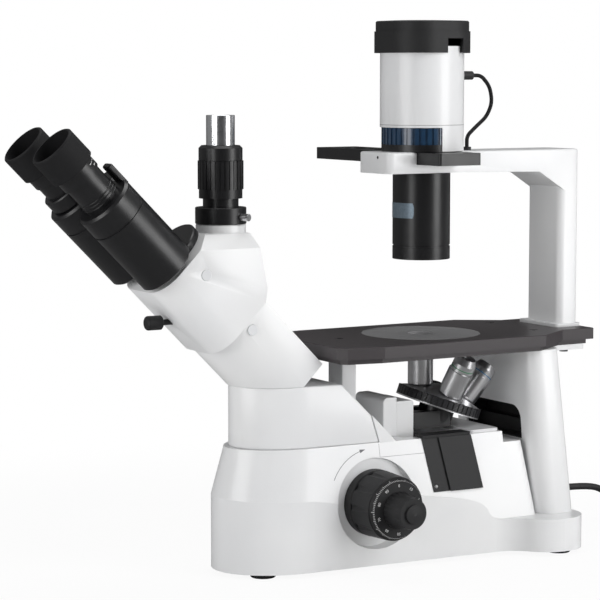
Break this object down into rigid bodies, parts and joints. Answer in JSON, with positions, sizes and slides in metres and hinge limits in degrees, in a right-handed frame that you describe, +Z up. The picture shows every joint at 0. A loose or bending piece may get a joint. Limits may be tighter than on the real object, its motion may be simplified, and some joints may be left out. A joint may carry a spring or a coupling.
{
  "type": "inverted microscope",
  "caption": "Inverted laboratory microscope: condenser and lamp on an arm over a flat stage, objectives on a turret below it, slanted binocular head with a camera port.",
  "frame": {"origin": "middle of the instrument's footprint on the bench, without its power cord", "axes": "+X to the rear, away from the user, +Y to the user's left, +Z up"},
  "size_m": [0.7364, 0.2671, 0.4894],
  "materials": {
    "white_enamel": "smooth white enamel on cast aluminium",
    "black_enamel": "satin black on aluminium",
    "black_plastic": "matt black moulding",
    "black_rubber": "matt",
    "bright_steel": "turned",
    "bright_chrome": "polished",
    "clear_glass": "polished",
    "blue_ring": "translucent blue",
    "cream_ceramic": "ceramic",
    "green_board": "laminate",
    "mirror_glass": "front silvered"
  },
  "bodies": {
    "stand": {"base_casting": "white_enamel", "bottom_plate": "black_enamel", "rubber_feet": "black_rubber", "power_supply": "green_board", "beam_mirror": "mirror_glass", "front_tower": "white_enamel", "head_arm": "white_enamel", "head_box": "white_enamel", "screws_and_plugs": "bright_steel", "hub_plate": "black_enamel", "port_ring": "black_enamel", "port_cap": "black_enamel", "rear_column": "white_enamel", "cavity_liner": "black_plastic", "stage_plate": "black_enamel", "stage_front_post": "white_enamel", "illumination_arm": "white_enamel", "condenser_tube": "black_enamel", "condenser_lens": "clear_glass", "lamp_collar": "black_enamel", "filter_ring": "blue_ring", "lamp_house": "white_enamel", "lamp_cap": "black_plastic", "lamp_socket": "cream_ceramic", "halogen_bulb": "clear_glass", "focus_guide_block": "white_enamel", "side_cover": "black_plastic", "switch_frame": "black_plastic", "lamp_lead": "black_rubber", "cord_glands": "black_plastic", "power_cord": "black_rubber", "cord_coil": "black_rubber", "power_plug": "black_plastic"},
    "selector": {"selector_rod": "black_plastic"},
    "right_housing": {"prism_housing_right": "black_enamel"},
    "left_housing": {"prism_housing_left": "black_enamel"},
    "right_eyepiece": {"eyepiece_right": "black_enamel", "eyecup_right": "black_rubber"},
    "left_eyepiece": {"eyepiece_left": "black_enamel", "eyecup_left": "black_rubber"},
    "diopter": {"diopter_ring": "black_enamel"},
    "thumbscrew": {"port_thumbscrew": "bright_steel"},
    "port_focus": {"port_focus_ring": "black_enamel"},
    "camera_tube": {"camera_tube": "bright_chrome"},
    "insert": {"stage_insert": "black_enamel"},
    "slider": {"phase_slider": "black_enamel", "phase_rings": "black_enamel"},
    "carriage": {"focus_carriage": "white_enamel", "nosepiece_bracket": "black_enamel"},
    "turret": {"turret_ring": "black_enamel", "turret_cone": "bright_chrome", "objectives": "bright_chrome", "turret_plug": "black_plastic"},
    "coarse_focus": {"coarse_knobs": "black_plastic", "coarse_shaft": "bright_steel"},
    "fine_focus": {"fine_knobs": "black_plastic", "fine_shaft": "bright_steel"},
    "tension": {"tension_collar": "black_plastic"},
    "rocker": {"switch_rocker": "black_plastic"},
    "dimmer": {"brightness_knob": "black_plastic"}
  },
  "joints": [
    {"name": "light_path_pull", "type": "slide", "parent": "stand", "child": "selector", "axis": [-1, 0, 0], "range_m": [0, 0.012]},
    {"name": "right_tube_swing", "type": "hinge", "parent": "stand", "child": "right_housing", "pos_m": [-0.17968, -0.01725, 0.32978], "axis": [-0.7071, 0, 0.7071], "range_deg": [-2.9, 39.8]},
    {"name": "left_tube_swing", "type": "hinge", "parent": "stand", "child": "left_housing", "pos_m": [-0.17968, -0.01725, 0.32978], "axis": [-0.7071, 0, 0.7071], "range_deg": [-39.8, 2.9]},
    {"name": "right_eyepiece_lift", "type": "slide", "parent": "right_housing", "child": "right_eyepiece", "axis": [-0.7071, 0, 0.7071], "range_m": [0, 0.02]},
    {"name": "left_eyepiece_lift", "type": "slide", "parent": "left_housing", "child": "left_eyepiece", "axis": [-0.7071, 0, 0.7071], "range_m": [0, 0.02]},
    {"name": "diopter_turn", "type": "hinge", "parent": "left_housing", "child": "diopter", "pos_m": [-0.22494, 0.01155, 0.3411], "axis": [-0.7071, 0, 0.7071], "range_deg": [-120, 120]},
    {"name": "port_screw_turn", "type": "hinge", "parent": "stand", "child": "thumbscrew", "pos_m": [-0.0927, -0.01725, 0.31775], "axis": [0.4226, -0.9063, 0], "range_deg": [0, 360]},
    {"name": "port_focus_turn", "type": "hinge", "parent": "stand", "child": "port_focus", "pos_m": [-0.0927, -0.01725, 0.35], "axis": [0, 0, 1], "range_deg": [-124, 124]},
    {"name": "camera_tube_slide", "type": "slide", "parent": "stand", "child": "camera_tube", "axis": [0, 0, 1], "range_m": [-0.004, 0.004]},
    {"name": "stage_insert_lift", "type": "slide", "parent": "stand", "child": "insert", "axis": [0, 0, 1], "range_m": [0, 0.02]},
    {"name": "phase_slider_slide", "type": "slide", "parent": "stand", "child": "slider", "axis": [0, 1, 0], "range_m": [-0.104, 0]},
    {"name": "carriage_slide", "type": "slide", "parent": "stand", "child": "carriage", "axis": [0, 0, 1], "range_m": [-0.0045, 0.004]},
    {"name": "nosepiece_turn", "type": "hinge", "parent": "carriage", "child": "turret", "pos_m": [0.13834, -0.02276, 0.14788], "axis": [0.3145, -0.0843, 0.9455], "continuous": true},
    {"name": "coarse_focus_turn", "type": "hinge", "parent": "stand", "child": "coarse_focus", "pos_m": [0.0358, -0.01725, 0.06], "axis": [0, 1, 0], "range_deg": [-45, 40]},
    {"name": "fine_focus_turn", "type": "hinge", "parent": "stand", "child": "fine_focus", "pos_m": [0.0358, -0.01725, 0.06], "axis": [0, 1, 0], "continuous": true},
    {"name": "tension_turn", "type": "hinge", "parent": "stand", "child": "tension", "pos_m": [0.0358, -0.06825, 0.06], "axis": [0, 1, 0], "range_deg": [0, 60]},
    {"name": "power_switch_rock", "type": "hinge", "parent": "stand", "child": "rocker", "pos_m": [0.1478, 0.03175, 0.086], "axis": [1, 0, 0], "range_deg": [-8, 8]},
    {"name": "brightness_turn", "type": "hinge", "parent": "stand", "child": "dimmer", "pos_m": [0.1098, 0.03775, 0.084], "axis": [0, 1, 0], "range_deg": [0, 270]}
  ],
  "couplings": [
    {"joint": "left_tube_swing", "follows": "right_tube_swing", "ratio": -1},
    {"joint": "port_focus_turn", "follows": "camera_tube_slide", "rad_per_m": 523.6},
    {"joint": "coarse_focus_turn", "follows": "carriage_slide", "rad_per_m": 166.67}
  ]
}
